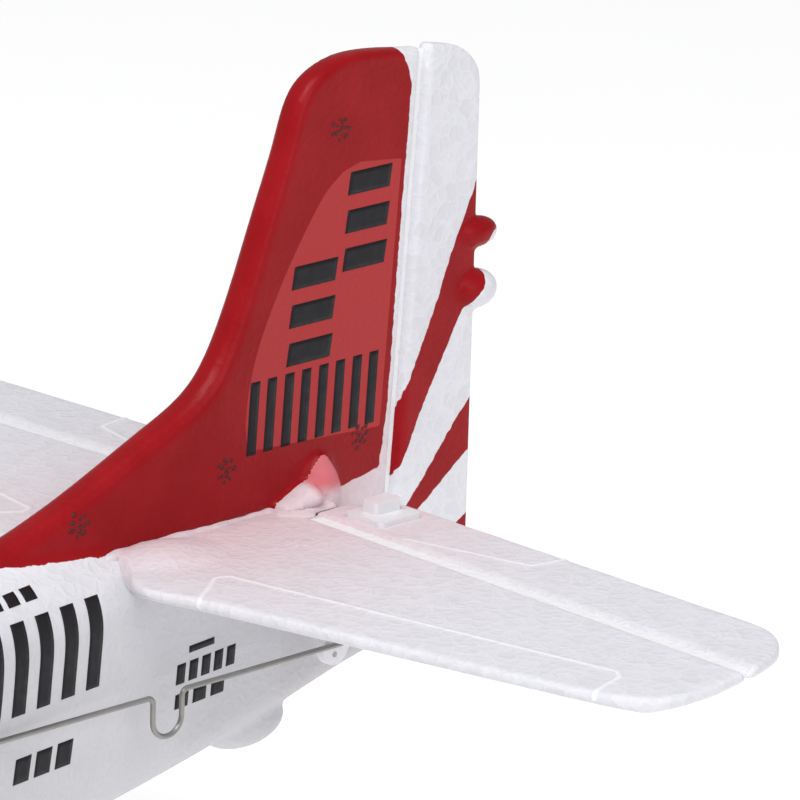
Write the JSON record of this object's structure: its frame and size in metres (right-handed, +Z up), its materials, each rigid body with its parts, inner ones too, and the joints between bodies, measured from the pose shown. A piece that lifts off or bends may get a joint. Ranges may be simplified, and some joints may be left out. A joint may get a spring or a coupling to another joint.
{
  "type": "remote-controlled model aeroplane",
  "caption": "Small white bead-foam radio-controlled low-wing trainer aeroplane with a red fin, tricycle wheels and working control surfaces.",
  "frame": {"origin": "on the ground under the middle of the aeroplane's bounding box", "axes": "-Y is the nose, +X is the port wing, +Z is up"},
  "size_m": [0.4, 0.33, 0.126],
  "materials": {
    "white_foam": "expanded bead foam, satin skin",
    "red_paint": "glossy paint on bead foam",
    "black_marking": "printed film",
    "smoked_glazing": "smoked, glossy",
    "white_plastic": "moulded",
    "black_plastic": "moulded",
    "red_plastic": "moulded, glossy",
    "natural_nylon": "translucent nylon",
    "spring_steel": "drawn wire",
    "carbon_strip": "pultruded carbon",
    "plywood": "thin plywood",
    "tyre_foam": "matt",
    "servo_blue": "translucent case",
    "motor_can": "plated can",
    "brass": "turned",
    "circuit_board": "solder mask",
    "battery_wrap": "shrink film",
    "black_strap": "hook and loop",
    "nickel": "plated magnet"
  },
  "bodies": {
    "airframe": {"fuselage_port": "white_foam", "fuselage_starboard": "white_foam", "wing_port": "white_foam", "wing_starboard": "white_foam", "wing_spar": "carbon_strip", "wing_screws": "spring_steel", "tailplane": "white_foam", "cowl": "white_foam", "engine_face": "black_plastic", "firewall": "plywood", "gearbox_frame": "black_plastic", "shaft_bearings": "brass", "motor": "motor_can", "receiver_board": "circuit_board", "battery": "battery_wrap", "battery_strap": "black_strap", "battery_tray": "plywood", "servo_tray": "plywood", "body_magnets": "nickel", "elevator_servo": "servo_blue", "rudder_servo": "servo_blue", "aileron_servos": "servo_blue", "main_legs": "spring_steel", "main_mounts": "black_plastic", "nose_leg": "spring_steel", "nose_mount": "black_plastic", "axle_collars": "black_plastic"},
    "canopy_hatch": {"hatch_base": "white_foam", "canopy_glazing": "smoked_glazing", "canopy_frame": "white_plastic", "hatch_magnets": "nickel"},
    "elevator": {"elevator_port": "white_foam", "elevator_starboard": "white_foam", "elevator_joiner": "carbon_strip", "elevator_horn": "natural_nylon"},
    "elevator_rod": {"elevator_pushrod": "spring_steel"},
    "elevator_arm": {"elevator_servo_arm": "white_plastic"},
    "rudder": {"rudder": "white_foam", "rudder_horn": "natural_nylon"},
    "rudder_rod": {"rudder_pushrod": "spring_steel"},
    "rudder_arm": {"rudder_servo_arm": "white_plastic"},
    "aileron_port": {"aileron_port": "white_foam", "aileron_horn_port": "natural_nylon"},
    "aileron_rod_port": {"aileron_pushrod_port": "spring_steel"},
    "aileron_arm_port": {"aileron_servo_arm_port": "white_plastic"},
    "aileron_starboard": {"aileron_starboard": "white_foam", "aileron_horn_starboard": "natural_nylon"},
    "aileron_rod_starboard": {"aileron_pushrod_starboard": "spring_steel"},
    "aileron_arm_starboard": {"aileron_servo_arm_starboard": "white_plastic"},
    "propeller": {"propeller": "black_plastic", "spinner": "red_plastic", "propeller_shaft": "spring_steel", "spur_gear": "white_plastic"},
    "motor_pinion": {"motor_pinion": "brass"},
    "main_wheel_port": {"main_hub_port": "white_plastic", "main_tyre_port": "tyre_foam"},
    "main_wheel_starboard": {"main_hub_starboard": "white_plastic", "main_tyre_starboard": "tyre_foam"},
    "nose_wheel": {"nose_hub": "white_plastic", "nose_tyre": "tyre_foam"}
  },
  "joints": [
    {"name": "elevator_hinge", "type": "hinge", "parent": "airframe", "child": "elevator", "pos_m": [0, 0.1253, 0.0665], "axis": [1, 0, 0], "range_deg": [-20, 20]},
    {"name": "elevator_rod_pivot", "type": "hinge", "parent": "elevator", "child": "elevator_rod", "pos_m": [0.013, 0.1263, 0.0524], "axis": [1, 0, 0], "range_deg": [-20, 20]},
    {"name": "elevator_arm_pivot", "type": "hinge", "parent": "airframe", "child": "elevator_arm", "pos_m": [0.008, 0.023, 0.0665], "axis": [1, 0, 0], "range_deg": [-20, 20]},
    {"name": "rudder_hinge", "type": "hinge", "parent": "airframe", "child": "rudder", "pos_m": [0, 0.14606, 0.068], "axis": [0, 0.0706, 0.9975], "range_deg": [-25, 25]},
    {"name": "rudder_rod_pivot", "type": "hinge", "parent": "rudder", "child": "rudder_rod", "pos_m": [-0.014, 0.1453, 0.0572], "axis": [0, 0.0706, 0.9975], "range_deg": [-25, 25]},
    {"name": "rudder_arm_pivot", "type": "hinge", "parent": "airframe", "child": "rudder_arm", "pos_m": [0, 0.018, 0.0517], "axis": [0, 0, 1], "range_deg": [-25, 25]},
    {"name": "aileron_hinge_port", "type": "hinge", "parent": "airframe", "child": "aileron_port", "pos_m": [0.098, -0.02336, 0.04853], "axis": [0.9876, -0.0778, 0.1365], "range_deg": [-20, 20]},
    {"name": "aileron_rod_pivot_port", "type": "hinge", "parent": "aileron_port", "child": "aileron_rod_port", "pos_m": [0.10523, -0.02383, 0.04045], "axis": [0.9876, -0.0778, 0.1365], "range_deg": [-20, 20]},
    {"name": "aileron_arm_pivot_port", "type": "hinge", "parent": "airframe", "child": "aileron_arm_port", "pos_m": [0.102, -0.04975, 0.04908], "axis": [0.9876, -0.0778, 0.1365], "range_deg": [-20, 20]},
    {"name": "aileron_hinge_starboard", "type": "hinge", "parent": "airframe", "child": "aileron_starboard", "pos_m": [-0.098, -0.02336, 0.04853], "axis": [0.9876, 0.0778, -0.1365], "range_deg": [-20, 20]},
    {"name": "aileron_rod_pivot_starboard", "type": "hinge", "parent": "aileron_starboard", "child": "aileron_rod_starboard", "pos_m": [-0.10523, -0.02383, 0.04045], "axis": [0.9876, 0.0778, -0.1365], "range_deg": [-20, 20]},
    {"name": "aileron_arm_pivot_starboard", "type": "hinge", "parent": "airframe", "child": "aileron_arm_starboard", "pos_m": [-0.102, -0.04975, 0.04908], "axis": [0.9876, 0.0778, -0.1365], "range_deg": [-20, 20]},
    {"name": "propeller_spin", "type": "hinge", "parent": "airframe", "child": "propeller", "pos_m": [0, -0.1546, 0.056], "axis": [0, 1, 0], "continuous": true},
    {"name": "pinion_spin", "type": "hinge", "parent": "airframe", "child": "motor_pinion", "pos_m": [0, -0.1425, 0.046], "axis": [0, 1, 0], "continuous": true},
    {"name": "main_wheel_spin_port", "type": "hinge", "parent": "airframe", "child": "main_wheel_port", "pos_m": [0.0706, -0.03, 0.0115], "axis": [1, 0, 0], "continuous": true},
    {"name": "main_wheel_spin_starboard", "type": "hinge", "parent": "airframe", "child": "main_wheel_starboard", "pos_m": [-0.0706, -0.03, 0.0115], "axis": [1, 0, 0], "continuous": true},
    {"name": "nose_wheel_spin", "type": "hinge", "parent": "airframe", "child": "nose_wheel", "pos_m": [0, -0.113, 0.01], "axis": [1, 0, 0], "continuous": true},
    {"name": "hatch_lift", "type": "slide", "parent": "airframe", "child": "canopy_hatch", "axis": [0, 0, 1], "range_m": [0, 0.04]}
  ],
  "couplings": [
    {"joint": "elevator_rod_pivot", "follows": "elevator_hinge", "ratio": -1},
    {"joint": "elevator_arm_pivot", "follows": "elevator_hinge", "ratio": 1},
    {"joint": "rudder_rod_pivot", "follows": "rudder_hinge", "ratio": -1},
    {"joint": "rudder_arm_pivot", "follows": "rudder_hinge", "ratio": 1},
    {"joint": "aileron_rod_pivot_port", "follows": "aileron_hinge_port", "ratio": -1},
    {"joint": "aileron_arm_pivot_port", "follows": "aileron_hinge_port", "ratio": 1},
    {"joint": "aileron_hinge_starboard", "follows": "aileron_hinge_port", "ratio": -1},
    {"joint": "aileron_rod_pivot_starboard", "follows": "aileron_hinge_port", "ratio": 1},
    {"joint": "aileron_arm_pivot_starboard", "follows": "aileron_hinge_port", "ratio": -1},
    {"joint": "pinion_spin", "follows": "propeller_spin", "ratio": -4}
  ]
}
